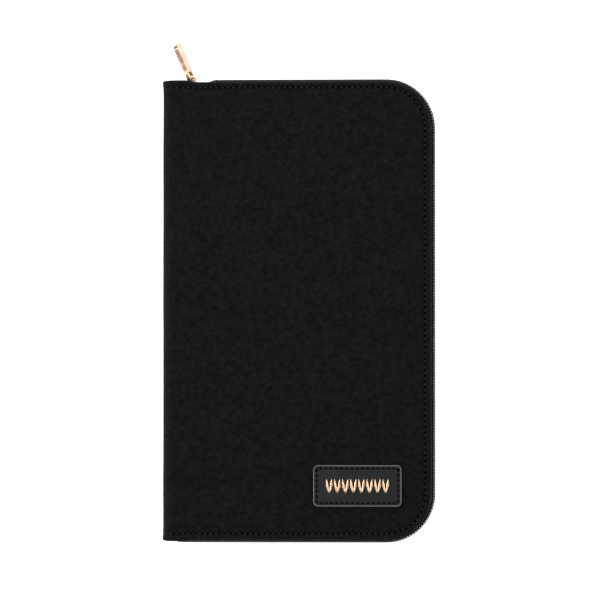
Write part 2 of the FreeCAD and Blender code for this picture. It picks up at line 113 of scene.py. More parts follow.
def finish(name, dark, light, rough, patch, grain, bump, weave=0.0, **sockets):
    """A surface that drifts between two shades over patch mm, with a grain of grain mm and, for cloth, a weave."""
    made = bpy.data.materials.new(name)
    made.use_nodes = True
    tree = made.node_tree
    shader = tree.nodes["Principled BSDF"]
    place = add(tree, "TexCoord").outputs["Object"]
    drift = add(tree, "TexNoise", {"Vector": place, "Scale": 1 / (patch * mm), "Detail": 3.0})
    fine = add(tree, "TexNoise", {"Vector": place, "Scale": 1 / (grain * mm), "Detail": 5.0, "Roughness": 0.6})
    height = fine.outputs["Fac"]
    if weave:
        # warp and weft: two sets of bands at right angles, the higher of the two showing
        turned = add(tree, "VectorRotate", {"Vector": place, "Angle": math.radians(45), "Axis": (0.3, 0.3, 1)})
        bands = [
            add(tree, "TexWave", {"Vector": turned.outputs[0], "Scale": 0.314 / (weave * mm)}, bands_direction=way)
            for way in ("X", "Y")
        ]
        over = add(tree, "Math", {0: bands[0].outputs["Fac"], 1: bands[1].outputs["Fac"]}, operation="MAXIMUM")
        height = add(tree, "Math", {0: over.outputs[0], 1: height}, operation="MULTIPLY").outputs[0]
    both = add(tree, "Math", {0: drift.outputs["Fac"], 1: height}, operation="ADD")
    share = add(tree, "MapRange", {"Value": both.outputs[0], "From Min": 0.72, "From Max": 1.28})
    tone = add(tree, "Mix", {0: share.outputs[0], 6: shade(dark), 7: shade(light)}, data_type="RGBA")
    tree.links.new(tone.outputs[2], shader.inputs["Base Color"])
    worn = add(tree, "MapRange", {
        "Value": drift.outputs["Fac"], "From Min": 0.3, "From Max": 0.7,
        "To Min": rough - 0.05, "To Max": min(1.0, rough + 0.07),
    })
    tree.links.new(worn.outputs[0], shader.inputs["Roughness"])
    relief = add(tree, "Bump", {"Height": height, "Strength": bump, "Distance": grain * mm * 0.5})
    tree.links.new(relief.outputs[0], shader.inputs["Normal"])
    for name, value in sockets.items():
        shader.inputs[name.replace("_", " ")].default_value = value
    return made


def piece(name, points, faces, surface, facing=None, crease=40):
    """A mesh piece with its faces turned outwards, smooth except across creases."""
    data = bpy.data.meshes.new(name)
    data.from_pydata([tuple(p) for p in points], [], faces)
    solid = bmesh.new()
    solid.from_mesh(data)
    bmesh.ops.recalc_face_normals(solid, faces=solid.faces)
    if facing and sum((f.normal * f.calc_area() for f in solid.faces), Vector()).dot(Vector(facing)) < 0:
        bmesh.ops.reverse_faces(solid, faces=solid.faces)
    solid.to_mesh(data)
    solid.free()
    data.shade_smooth()
    data.set_sharp_from_angle(angle=math.radians(crease))
    data.materials.append(surface)
    made = bpy.data.objects.new(name, data)
    scene.collection.objects.link(made)
    return made


table_paint = finish("matt_white_light_table", "#f4f4f4", "#ffffff", 0.8, 90.0, 1.5, 0.02,
                     Emission_Color=(1, 1, 1, 1), Emission_Strength=0.55)
table_corners = [(-2, -2, 0), (2, -2, 0), (2, 2, 0), (-2, 2, 0)]
table = piece("table", table_corners, [(0, 1, 2, 3)], table_paint, (0, 0, 1))
table.location.z = -0.3 * mm
world = bpy.data.worlds.new("room")
world.use_nodes = True
air = world.node_tree.nodes["Background"]
air.inputs["Color"].default_value = (1, 1, 1, 1)
air.inputs["Strength"].default_value = 0.35
scene.world = world
for name, place, size, power in (
    ("overhead", (-0.25, 0.5, 1.5), 1.2, 9.0),
    ("free_side", (1.2, -0.1, 0.42), 0.7, 9.0),
    ("spine_side", (-1.2, 0.1, 0.42), 0.7, 18.0),
    ("head_side", (0.0, 1.3, 0.42), 0.7, 16.0),
    ("foot_side", (0.0, -1.3, 0.42), 0.7, 6.0),
):
    light = bpy.data.objects.new(name, bpy.data.lights.new(name, "AREA"))
    light.data.size = size
    light.data.energy = power
    light.location = place
    light.rotation_mode = "QUATERNION"
    light.rotation_quaternion = (-Vector(place)).to_track_quat("-Z", "Y")
    scene.collection.objects.link(light)


# ---- The outer skin
# Black faux suede on thin foam, one long wrap from the back cover round the spine to the front cover, turned in over
# the card edges and sewn through 3 mm in. It is made here as a back and a front half that meet midway up the spine.
cover_low, cover_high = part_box("front_cover_skin")
spine_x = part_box("spine_skin")[0].x
fold_x = cover_low.x
free_x = cover_high.x
half_length = cover_high.y
case_thickness = cover_high.z
fold_radius = fold_x - spine_x
corner_radius = 24.0 * mm
corner_x = free_x - corner_radius
corner_y = half_length - corner_radius
fold_arc = fold_radius * math.pi / 2
mid_spine = fold_x - fold_arc - (case_thickness / 2 - fold_radius)
seam_inset = 3.1 * mm
spine_bow = 3.8 * mm
end_flare = 3.4 * mm
hem_length = 7 * mm         # of the spine's turned ends, along the spine


def spread(a, b, step):
    """Evenly spaced numbers from a up to b, without b, about step apart."""
    count = max(1, round(abs(b - a) / step))
    return [a + (b - a) * k / count for k in range(count)]


def rim(start, step=2.6 * mm):
    """Places round a cover's open sides, head to foot: (edge point, outward way). Starts at x = start."""
    top = [Vector((x, half_length)) for x in spread(start, corner_x, step)]
    ways = [Vector((0, 1))] * len(top)
    for degree in range(0, 90, 6):
        way = Vector((math.sin(math.radians(degree)), math.cos(math.radians(degree))))
        top.append(Vector((corner_x, corner_y)) + way * corner_radius)
        ways.append(way)
    side = [Vector((free_x, y)) for y in spread(corner_y, 0, step)] + [Vector((free_x, 0))]
    ways += [Vector((1, 0))] * len(side)
    places = list(zip(top + side, ways))
    return places + [(Vector((p.x, -p.y)), Vector((w.x, -w.y))) for p, w in reversed(places[:-1])]


def on_case(u, y, lift, upper):
    """Bring a point of the laid-out cloth onto the case: flat on a cover, round the fold, up the spine."""
    past = fold_x - u
    if past <= 0:
        x, z = u, -lift
    elif past < fold_arc:
        reach = fold_radius + lift
        x = fold_x - reach * math.sin(past / fold_radius)
        z = fold_radius - reach * math.cos(past / fold_radius)
    else:
        x, z = spine_x - lift, fold_radius + past - fold_arc
    return Vector((x, y, case_thickness - z if upper else z))


def wrap_half(name, upper, profile, bow, surface, facing, fuller=0.3):
    """Half of a cloth that wraps the case; profile rows are (inset, lift) from the sheet out over its edge."""
    marks = rim(mid_spine)
    count = len(marks)
    side = sum(1 for p, w in marks if w.x > 0.9999)
    columns = (count - side) // 2 + 1
    inset, flat = profile[0]
    edge = [p - w * inset for p, w in marks]
    grid = []
    for i in range(columns):
        head, foot = edge[i], edge[count - 1 - i]
        for j in range(side):
            grid.append(head.lerp(foot, j / (side - 1)))

    def lifted(u, y, lift, soft):
        sag = bow * (0.5 + noise.noise(Vector((u, y, 3.0 if upper else 9.0)) / (22 * mm)))
        past = max(0.0, fold_x - u) / (fold_x - mid_spine)
        crown = spine_bow * fuller * math.sin(past * math.pi / 2) ** 1.5
        # the turned ends of the spine are thick with folded cloth and stand out a little
        end = min(1.0, max(0.0, (abs(y) - half_length + hem_length) / hem_length)) ** 2
        near = min(1.0, max(0.0, (fold_x + 13 * mm - u) / hem_length))
        flare = end_flare * fuller * end * near * near * (3 - 2 * near)
        y += math.copysign(flare * (1 - past * past), y)
        return on_case(u, y, lift - max(0.0, sag) * soft + crown + flare * past * 0.4, upper)

    points = [lifted(p.x, p.y, flat, 1.0) for p in grid]
    number = {}
    for i in range(columns):
        number[i] = i * side
        number[count - 1 - i] = i * side + side - 1
    for j in range(side):
        number[columns - 1 + j] = (columns - 1) * side + j
    faces = []
    for i in range(columns - 1):
        for j in range(side - 1):
            a = i * side + j
            faces.append((a, a + 1, a + side + 1, a + side))
    last = [number[k] for k in range(count)]
    for depth, lift in profile[1:]:
        row = []
        for p, w in marks:
            q = p - w * depth
            on_spine = min(1.0, max(0.0, (fold_x + 2 * mm - q.x) / (2 * mm)))
            past_seam = min(1.0, max(0.0, (fold_x - 1 * mm - q.x) / (2 * mm)))
            deep = lift * (1 + fuller * on_spine) if lift < -0.6 * mm else lift * (1 - 0.8 * past_seam)
            row.append(len(points))
            soft = 1.0 if depth > 4 * mm and lift > -0.4 * mm else 0.0
            points.append(lifted(q.x, q.y, deep, soft))
        for k in range(count - 1):
            faces.append((last[k], last[k + 1], row[k + 1], row[k]))
        last = row
    return piece(name, points, faces, surface, facing, 60)


suede = finish("black_faux_suede", "#040404", "#161617", 0.95, 2.4, 0.8, 0.8, Sheen_Weight=0.06,
               Sheen_Roughness=0.4, Sheen_Tint=shade("#a8a8a8"), Specular_IOR_Level=0.06)
skin_profile = [
    (9.0, 0.0), (6.0, 0.05), (4.6, 0.0), (4.0, -0.16), (3.6, -0.4), (3.1, -0.52), (2.6, -0.4), (2.2, -0.12),
    (1.8, 0.12), (1.2, 0.22), (0.7, 0.1), (0.25, -0.3), (0.0, -0.9), (0.12, -1.5), (0.55, -1.92), (1.2, -2.0),
    (3.0, -2.0), (5.0, -2.0),
]
skin_profile = [(a * mm, b * mm) for a, b in skin_profile]
back_skin = wrap_half("back_skin", False, skin_profile, 0.18 * mm, suede, (0, 0, -1))
front_skin = wrap_half("front_skin", True, skin_profile, 0.18 * mm, suede, (0, 0, 1))
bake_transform(back_skin)
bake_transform(front_skin)
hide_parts("back_cover_skin", "back_fold_strip")
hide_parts("front_cover_skin", "front_fold_strip", "spine_skin", "spine_board")


# ---- The topstitching
# Two-cord black polyester thread at 3 mm a stitch, drawn tight so each stitch lies in a small dimple of the suede.
# It goes through skin, hem, tape and lining round the three zipped sides and stops at the spine.
def tube(line, radii, sides=6):
    """Points and faces of a closed tube along a line; radii are one (wide, high) pair or a list of them."""
    points = []
    faces = []
    for k, p in enumerate(line):
        ahead = (line[min(k + 1, len(line) - 1)] - line[max(k - 1, 0)]).normalized()
        across = ahead.orthogonal() if abs(ahead.z) > 0.98 else ahead.cross(Vector((0, 0, 1)))
        across.normalize()
        up = across.cross(ahead)
        wide, high = radii[k] if isinstance(radii, list) else radii
        for s in range(sides):
            turn = 2 * math.pi * s / sides
            points.append(p + across * wide * math.cos(turn) + up * high * math.sin(turn))
        if k:
            for s in range(sides):
                a, b = (k - 1) * sides + s, (k - 1) * sides + (s + 1) % sides
                faces.append((a, b, b + sides, a + sides))
    faces += [tuple(range(sides)), tuple(range(len(points) - sides, len(points)))]
    return points, faces


def row_nodes():
    """A node tree that sets copies of one small piece along a line, each turned to follow it."""
    tree = bpy.data.node_groups.new("copies along a line", "GeometryNodeTree")
    for name, kind in (
        ("Line", "Geometry"), ("Piece", "Object"), ("Spacing", "Float"), ("Wobble", "Float"), ("Seed", "Int"),
        ("Surface", "Material"),
    ):
        tree.interface.new_socket(name, in_out="INPUT", socket_type="NodeSocket" + kind)
    tree.interface.new_socket("Row", in_out="OUTPUT", socket_type="NodeSocketGeometry")
    given = tree.nodes.new("NodeGroupInput")
    result = tree.nodes.new("NodeGroupOutput")
    join = tree.links.new
    line = tree.nodes.new("GeometryNodeMeshToCurve")
    even = tree.nodes.new("GeometryNodeResampleCurve")
    even.mode = "LENGTH"
    tangent = tree.nodes.new("GeometryNodeInputTangent")
    aim = tree.nodes.new("FunctionNodeAlignRotationToVector")
    aim.axis = "X"
    aim.pivot_axis = "Z"
    least = tree.nodes.new("ShaderNodeMath")
    least.operation = "MULTIPLY"
    least.inputs[1].default_value = -1.0
    wobble = tree.nodes.new("FunctionNodeRandomValue")
    wobble.data_type = "FLOAT"
    lean = tree.nodes.new("ShaderNodeCombineXYZ")
    as_turn = tree.nodes.new("FunctionNodeEulerToRotation")
    turn = tree.nodes.new("FunctionNodeRotateRotation")
    turn.rotation_space = "LOCAL"
    shape = tree.nodes.new("GeometryNodeObjectInfo")
    copies = tree.nodes.new("GeometryNodeInstanceOnPoints")
    real = tree.nodes.new("GeometryNodeRealizeInstances")
    cover = tree.nodes.new("GeometryNodeSetMaterial")
    join(given.outputs["Line"], line.inputs[0])
    join(line.outputs[0], even.inputs["Curve"])
    join(given.outputs["Spacing"], even.inputs["Length"])
    join(tangent.outputs[0], aim.inputs["Vector"])
    join(given.outputs["Wobble"], least.inputs[0])
    join(least.outputs[0], wobble.inputs[2])
    join(given.outputs["Wobble"], wobble.inputs[3])
    join(given.outputs["Seed"], wobble.inputs["Seed"])
    join(wobble.outputs[1], lean.inputs["Z"])
    join(lean.outputs[0], as_turn.inputs[0])
    join(aim.outputs[0], turn.inputs[0])
    join(as_turn.outputs[0], turn.inputs[1])
    join(given.outputs["Piece"], shape.inputs["Object"])
    join(even.outputs[0], copies.inputs["Points"])
    join(shape.outputs["Geometry"], copies.inputs["Instance"])
    join(turn.outputs[0], copies.inputs["Rotation"])
    join(copies.outputs[0], real.inputs[0])
    join(real.outputs[0], cover.inputs[0])
    join(given.outputs["Surface"], cover.inputs["Material"])
    join(cover.outputs[0], result.inputs[0])
    return tree


copies_along = row_nodes()


def row(name, lines, shape, spacing, surface, wobble=0.0, seed=1):
    """Copies of a small (points, faces) shape along one or more lines, as one plain mesh piece."""
    unit = piece(name + "_one", *shape, surface)
    data = bpy.data.meshes.new(name)
    points = [p for line in lines for p in line]
    edges = []
    first = 0
    for line in lines:
        edges += [(first + k, first + k + 1) for k in range(len(line) - 1)]
        first += len(line)
    data.from_pydata([tuple(p) for p in points], edges, [])
    made = bpy.data.objects.new(name, data)
    scene.collection.objects.link(made)
    modifier = made.modifiers.new("row", "NODES")
    modifier.node_group = copies_along
    wanted = {"Piece": unit, "Spacing": spacing, "Wobble": wobble, "Seed": seed, "Surface": surface}
    for socket in copies_along.interface.items_tree:
        if socket.in_out == "INPUT" and socket.name in wanted:
            modifier[socket.identifier] = wanted[socket.name]
    made.update_tag()
    bpy.context.view_layer.update()
    plain = bpy.data.meshes.new_from_object(made.evaluated_get(bpy.context.evaluated_depsgraph_get()))
    made.modifiers.clear()
    made.data = plain
    plain.name = name
    bpy.data.objects.remove(unit)
    return made


def stitch(length, width=0.55, dip=0.3):
    """One stitch: a fat middle and two ends that dive into the cloth."""
    half = length / 2
    line = [(-1, -dip), (-0.8, -0.02), (-0.35, 0.1), (0.35, 0.1), (0.8, -0.02), (1, -dip)]
    fullness = (0.3, 0.8, 1.0, 1.0, 0.8, 0.3)
    return tube(
        [Vector((x * half, 0, z)) * mm for x, z in line],
        [(share * width / 2 * mm,) * 2 for share in fullness],
    )


def at_height(marks, inset, z):
    """A line round the rim, inset from the edge, at height z."""
    return [Vector((*(p - w * inset), z)) for p, w in marks]


def turned_over(part, middle):
    """Mirror a piece's mesh in the level plane at height middle."""
    part.data.transform(Matrix.Translation((0, 0, 2 * middle)) @ Matrix.Diagonal((1, 1, -1, 1)))
    part.data.flip_normals()


thread = finish("black_polyester_thread", "#050506", "#17171a", 0.7, 2.0, 0.15, 0.5, Specular_IOR_Level=0.2)
# pure black with almost no shine: painted shade, used for the shadow in the needle holes and in the label's stitch
# groove
painted_shade_black = finish("shaded_needle_hole", "#000000", "#040404", 1.0, 1.0, 0.2, 0.4, Specular_IOR_Level=0.02)
sewn = rim(fold_x - 0.8 * mm)
stitch_pitch = 3.0 * mm
seam_depth = 0.34 * mm
pit_rows = [(-0.85, 0.1, 0.02), (-0.5, 0.5, 0.06), (0.0, 0.62, 0.07), (0.5, 0.5, 0.06), (0.85, 0.1, 0.02)]
pit = tube([Vector((x, 0, 0)) * mm for x, _, _ in pit_rows], [(a * mm, b * mm) for _, a, b in pit_rows])
for body, z in (("front", case_thickness), ("back", 0.0)):
    line = at_height(sewn, seam_inset, z - seam_depth)
    stitches = row(body + "_topstitch", [line], stitch(1.9, 0.6), stitch_pitch, thread, 0.06, 4)
    # between the stitches small pure black pits are painted shade: they stand for the shadow inside the needle's
    # holes in the seam
    half_on = [p.lerp(q, 0.5) for p, q in zip(line, line[1:])]
    pits = row(body + "_needle_holes", [half_on], pit, stitch_pitch, painted_shade_black, 0.1, 5)
    for part in (stitches, pits):
        if body == "back":
            turned_over(part, 0)
        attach(part, body)


# ---- The zip's tapes
# Woven polyester tape, 0.6 mm, sewn in under the hem and standing up to the chain. Beside the spine it dips inwards,
# because the parked slider needs the room.
tape_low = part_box("back_zip_tape")[0]
coil_low, coil_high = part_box("back_zip_coil")
zip_start = tape_low.x
dip_end = zip_start + 13.8 * mm
ramp_end = dip_end + 6.0 * mm
chain_dip = 2.7 * mm
tape_out = -0.3 * mm
tape_thickness = 0.6 * mm


def dip_at(p, w):
    """How far the chain dips inwards at a place on the rim."""
    if w.y < 0.9999 or p.x > ramp_end:
        return 0.0
    t = min(1.0, (ramp_end - p.x) / (ramp_end - dip_end))
    return chain_dip * t * t * (3 - 2 * t)


def swept(name, marks, section, surface, upper=False, crease=40):
    """A closed (out, z) section carried round the rim; section is given the dip."""
    points = []
    size = len(section(0.0))
    for p, w in marks:
        for out, z in section(dip_at(p, w)):
            points.append(Vector((*(p + w * out), case_thickness - z if upper else z)))
    faces = [tuple(range(size)), tuple(range(len(points) - size, len(points)))]
    for k in range(len(marks) - 1):
        for s in range(size):
            a, b = k * size + s, k * size + (s + 1) % size
            faces.append((a, b, b + size, a + size))
    return piece(name, points, faces, surface, None, crease)


def tape_section(dip):
    """The tape: flange, rounded turn and a wall of even thickness standing up to the chain."""
    t = tape_thickness
    low = tape_low.z
    wall = tape_out - dip
    bend = coil_low.z - 1.1 * mm
    middle = (tape_out + wall) / 2 + 0.05 * mm
    outer = [(-5 * mm, low), (tape_out - t, low), (tape_out - 0.15 * mm, low + 0.15 * mm),
             (tape_out, low + t), (middle, (low + bend) / 2), (wall, bend), (wall, coil_high.z - 0.5 * mm)]
    inner = [(out - t, z) for out, z in outer[:2:-1]]
    return outer + inner + [(tape_out - 0.9 * mm, low + t), (-5 * mm, low + t)]


weave = finish("black_woven_tape", "#0b0b0c", "#1d1d20", 0.8, 5.0, 0.3, 0.7, weave=0.7)
zip_line = rim(zip_start, 2.0 * mm)
for side, upper in (("back", False), ("front", True)):
    tape = swept(side + "_tape", zip_line, tape_section, weave, upper, 60)
    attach(tape, side)
    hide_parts(side + "_zip_tape")


# ---- The zip's chain
# Nylon coil: one 0.66 mm filament wound at 1.55 mm a turn and pressed flat, its heads hooking between those of the
# other half. Two rows of thread sew it to the tape over a cord that runs inside the turns.
pitch = 1.55 * mm
nylon = finish("black_nylon_filament", "#0c0c0e", "#1c1c20", 0.32, 6.0, 0.4, 0.15)
turn_line = [
    (0.0, 1.36, 0.3), (0.0, 1.38, 1.2), (0.0, 1.38, 2.3), (0.0, 1.3, 2.95), (0.0, 1.0, 3.42), (0.02, 0.6, 3.45),
    (0.06, 0.25, 3.1), (0.2, 0.05, 2.2), (0.5, 0.05, 0.9), (0.8, 0.3, 0.3), (1.15, 0.8, 0.12), (1.45, 1.25, 0.2),
    (1.55, 1.36, 0.35),
]
coil_radii = [(0.36, 0.31)] * 3 + [(0.42, 0.34), (0.44, 0.36), (0.42, 0.34)] + [(0.34, 0.3)] * 7


def cord_section(dip):
    """The cord inside the turns, an upright oval."""
    turns = [math.pi * k / 4 for k in range(8)]
    return [((0.7 + 0.45 * math.cos(a)) * mm - dip, coil_low.z + (1.3 + 0.9 * math.sin(a)) * mm) for a in turns]


for side, upper, shift, proud in (("back", False, 0.0, -0.15 * mm), ("front", True, 0.5, 0.15 * mm)):
    marks = rim(coil_low.x + (0.4 + shift) * pitch, 2.0 * mm)
    line = [Vector((*(p + w * (proud - dip_at(p, w))), coil_low.z)) for p, w in marks]
    radii = [(a * mm, b * mm) for a, b in coil_radii]
    turn = tube([Vector((a, out, z)) * mm for a, out, z in turn_line], radii, 7)
    coil = row(side + "_coil", [line], turn, pitch, nylon)
    lines = [
        [Vector((*(p + w * (1.62 * mm - dip_at(p, w))), coil_low.z + level * mm)) for p, w in marks]
        for level in (0.75, 1.75)
    ]
    sewing = row(side + "_coil_sewing", lines, stitch(1.5, 0.36, 0.15), pitch, thread, 0.0, 2)
    cord = swept(side + "_coil_cord", marks, cord_section, weave, upper, 80)
    if upper:
        for part in (coil, sewing):
            turned_over(part, case_thickness / 2)
    for part, slot in ((coil, "nylon_coil"), (sewing, "zip_tape"), (cord, "zip_tape")):
        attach(part, side)
    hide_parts(side + "_zip_coil")


# ---- The slider, its crown and the pull
# Rose-gold plated zinc castings: a slider body round the chain, an arch on its back, and a flared bar hung from the
# arch by a cross pin. Edges are tumbled round, faces polished, and the plating is a little worn along the edges.
def softened(node, radius, surface):
    """A finished copy of a cast or pressed part, its edges eased."""
    data = frame["nodes"][node].data.copy()
    solid = bmesh.new()
    solid.from_mesh(data)
    bmesh.ops.remove_doubles(solid, verts=solid.verts, dist=1e-6)
    bmesh.ops.dissolve_limit(solid, angle_limit=math.radians(1), verts=solid.verts, edges=solid.edges)
    bmesh.ops.recalc_face_normals(solid, faces=solid.faces)
    solid.to_mesh(data)
    solid.free()
    data.name = node + "_made"
    data.materials.clear()
    data.materials.append(surface)
    data.shade_smooth()
    made = bpy.data.objects.new(data.name, data)
    scene.collection.objects.link(made)
    ease = made.modifiers.new("eased edges", "BEVEL")
    ease.width = radius * mm
    ease.segments = 3
    ease.limit_method = "ANGLE"
    ease.angle_limit = math.radians(30)
    ease.use_clamp_overlap = True
    data.set_sharp_from_angle(angle=math.radians(50))
    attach(made, frame["nodes"][node]["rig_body"])
    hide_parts(node)
    return made


rose_gold = finish("rose_gold_plated_zinc", "#b3937a", "#d2b59b", 0.2, 4.0, 0.5, 0.04, Metallic=1.0)
for node, radius in (("zip_slider_body", 0.3), ("zip_slider_crown", 0.3), ("zip_puller", 0.4)):
    part = softened(node, radius, rose_gold)


# ---- The label
# A patch of smooth black PU leather, 46 × 22 mm, glued and sewn round its edge, with a row of knit stitches pressed
# into it in rose-gold foil.
def loop_round(x0, x1, y0, y1, radius, steps=6):
    """Places round a rectangle with rounded corners: (point, outward way)."""
    places = []
    for cx, cy, start in ((x1, y1, 0), (x0, y1, 90), (x0, y0, 180), (x1, y0, 270)):
        inward = Vector(((x0 + x1) / 2 - cx, (y0 + y1) / 2 - cy))
        centre = Vector((cx + math.copysign(radius, inward.x), cy + math.copysign(radius, inward.y)))
        for k in range(steps + 1):
            turn = math.radians(start + 90 * k / steps)
            way = Vector((math.cos(turn), math.sin(turn)))
            places.append((centre + way * radius, way))
    return places


def capped(name, marks, rows, surface):
    """A low form built up in rings: rows are (inset, z) from its foot to its middle, which is closed flat."""
    size = len(marks)
    points = [Vector((*(p - w * inset), z)) for inset, z in rows for p, w in marks]
    faces = [tuple(range(len(points) - size, len(points))), tuple(range(size))]
    for k in range(len(rows) - 1):
        for s in range(size):
            a, b = k * size + s, k * size + (s + 1) % size
            faces.append((a, b, b + size, a + size))
    return piece(name, points, faces, surface)


leather = finish("black_pu_leather", "#0d0d0e", "#1c1c1e", 0.62, 9.0, 0.45, 0.35, Specular_IOR_Level=0.2)
label_low, label_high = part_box("label_patch")
outline = loop_round(label_low.x, label_high.x, label_low.y, label_high.y, 2.5 * mm)
top = label_high.z
label_rows = [(0.0, -0.4), (0.1, -0.12), (0.25, 0.04), (0.5, 0.06), (0.75, -0.04), (1.0, -0.12), (1.5, -0.14),
              (1.8, -0.26), (2.1, -0.14), (2.4, -0.1)]
rows = [(0.0, label_low.z - 0.1 * mm)] + [(inset * mm, top + z * mm) for inset, z in label_rows]
label = capped("label", outline, rows, leather)
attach(label, "front")
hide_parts("label_patch")
# the cut edge is rounded over, and a thin bead along it in lighter grey is a painted highlight of that rolled edge
painted_highlight_finish = finish("grey_edge_paint", "#4a4a4d", "#666669", 0.5, 6.0, 0.3, 0.1, Specular_IOR_Level=0.3)
line = at_height(outline, 0.3 * mm, top - 0.02 * mm)
points, faces = tube(line + line[:1], (0.25 * mm, 0.18 * mm), 8)
bead = piece("label_edge_bead", points, faces, painted_highlight_finish, None, 60)
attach(bead, "front")

line = at_height(outline, 1.8 * mm, top - 0.08 * mm)
# the stitch shapes are real, but they are drawn in pure black as painted shade of the groove they lie in
label_sewing = row("label_topstitch", [line + line[:1]], stitch(1.8, 0.7, 0.2), 2.7 * mm, painted_shade_black, 0.05, 6)
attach(label_sewing, "front")

foil = finish("rose_gold_foil", "#e9bd98", "#ffe0c2", 0.3, 1.5, 0.2, 0.1, Metallic=1.0)
foil_low, foil_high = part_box("label_emblem")
emblem_count = 8
emblem_pitch = 34.0 * mm / emblem_count
leg_width = 1.1 * mm
points = []
faces = []
for number in range(emblem_count):
    centre = (foil_low.x + foil_high.x) / 2 + (number - (emblem_count - 1) / 2) * emblem_pitch
    for side in (-1, 1):
        # each leg of a knit stitch is a leaf, thick in the middle and pointed at both ends
        foot = Vector((centre + side * 0.2 * mm, foil_low.y))
        head = Vector((centre + side * 1.4 * mm, foil_high.y))
        along = (head - foot).normalized()
        across = Vector((along.y, -along.x))
        length = (head - foot).length
        first = len(points)
        leaf = []
        for k in range(13):
            t = k / 12
            swell = leg_width / 2 * math.sin(math.pi * min(1.0, t * 1.02)) ** 0.7
            vein = foot + along * length * t + across * side * 0.25 * mm * math.sin(math.pi * t)
            leaf.append((vein - across * swell * 0.95, vein + across * swell * 0.95))
        ring = [a for a, _ in leaf] + [b for _, b in reversed(leaf[1:-1])]
        size = len(ring)
        for z, shrink in ((top - 0.02 * mm, 1.0), (top + 0.07 * mm, 1.0), (foil_high.z, 0.86)):
            middle = sum(ring, Vector((0, 0))) / size
            points += [Vector((*(middle + (q - middle) * shrink), z)) for q in ring]
        for level in range(2):
            for s in range(size):
                a, b = first + level * size + s, first + level * size + (s + 1) % size
                faces.append((a, b, b + size, a + size))
        faces.append(tuple(range(first + 2 * size, first + 3 * size)))
        faces.append(tuple(range(first, first + size)))
emblem = piece("label_foil", points, faces, foil, None, 30)
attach(emblem, "front")
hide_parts("label_emblem")


# ---- The cards and the linings
# Grey bookbinder's card stiffens both covers and the spine. Inside, a thin charcoal polyester twill is turned under
# and caught by the same seam that holds the tape. Like the skin it runs on across both folds.
def clad(node, surface):
    """Give a part that is shown as it was built its finish."""
    for holder in frame["nodes"][node].material_slots:
        holder.material = surface


grey_card = finish("grey_bookbinders_card", "#5f5d58", "#85827a", 0.9, 6.0, 0.4, 0.5)
for node in ("back_cover_board", "front_cover_board"):
    clad(node, grey_card)
twill = finish("charcoal_polyester_twill", "#1b1b1e", "#37373c", 0.7, 14.0, 0.35, 0.6, weave=0.6,
               Sheen_Weight=0.1)
lining_profile = [(12.0, -3.1), (6.0, -3.1), (4.4, -3.08), (3.8, -2.98), (3.4, -3.08), (2.8, -3.1), (2.4, -3.02),
                  (2.2, -2.85), (2.3, -2.65), (3.0, -2.6)]
lining_profile = [(a * mm, b * mm) for a, b in lining_profile]
back_lining = wrap_half("back_lining", False, lining_profile, 0.1 * mm, twill, (0, 0, 1), 0.0)
front_lining = wrap_half("front_lining", True, lining_profile, 0.1 * mm, twill, (0, 0, -1), 0.0)
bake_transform(back_lining)
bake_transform(front_lining)
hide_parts("back_cover_lining")
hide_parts("front_cover_lining", "spine_lining")
lining_face = 3.12 * mm
for body, z in (("back", lining_face), ("front", case_thickness - lining_face)):
    line = at_height(sewn, 3.5 * mm, z)
    stitches = row(body + "_lining_stitch", [line], stitch(2.4), stitch_pitch, thread, 0.06, 8)
    if body == "front":
        turned_over(stitches, z)
    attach(stitches, body)


# ---- The zip's ends
# The tapes' ends are folded square and tacked down beside the spine, which closes the corners of the box, and a
# nylon stop is melted on each end of the chain.
for side in ("back", "front"):
    tabs = softened(side + "_zip_end_tabs", 0.5, weave)
    stops = softened(side + "_zip_stops", 0.35, nylon)


# ---- The needle panel and its sleeves
# A card panel in twill lies in the back half. On it a pocket of sixteen sewn sleeves holds the ferrules' ends, with a
# doubled hem at its mouth, and a ribbed elastic band further up holds the shafts down.
panel_low, panel_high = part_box("needle_panel")
panel_rows = [(4.5, 3.1), (4.5, 3.62), (4.62, 3.82), (5.0, 3.9), (6.4, 3.9), (6.8, 3.82), (7.2, 3.9)]
panel_rows = [(inset * mm, z * mm) for inset, z in panel_rows]
panel = capped("needle_panel_cloth", rim(panel_low.x), panel_rows, twill)
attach(panel, "back")
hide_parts("needle_panel")
line = at_height(rim(panel_low.x + 2 * mm), 6.8 * mm, 3.86 * mm)
panel_sewing = row("needle_panel_stitch", [line], stitch(2.0, 0.4), 2.6 * mm, thread, 0.05, 9)
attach(panel_sewing, "back")

tip_sizes = (3.5, 4.0, 4.5, 5.0, 5.5, 6.0, 7.0, 8.0)
tips = []
for size in tip_sizes:
    low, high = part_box("tips_%02d_shafts" % round(size * 10))
    tips += [(low.x + size / 2 * mm, size * mm), (high.x - size / 2 * mm, size * mm)]
tips_base = panel_high.z


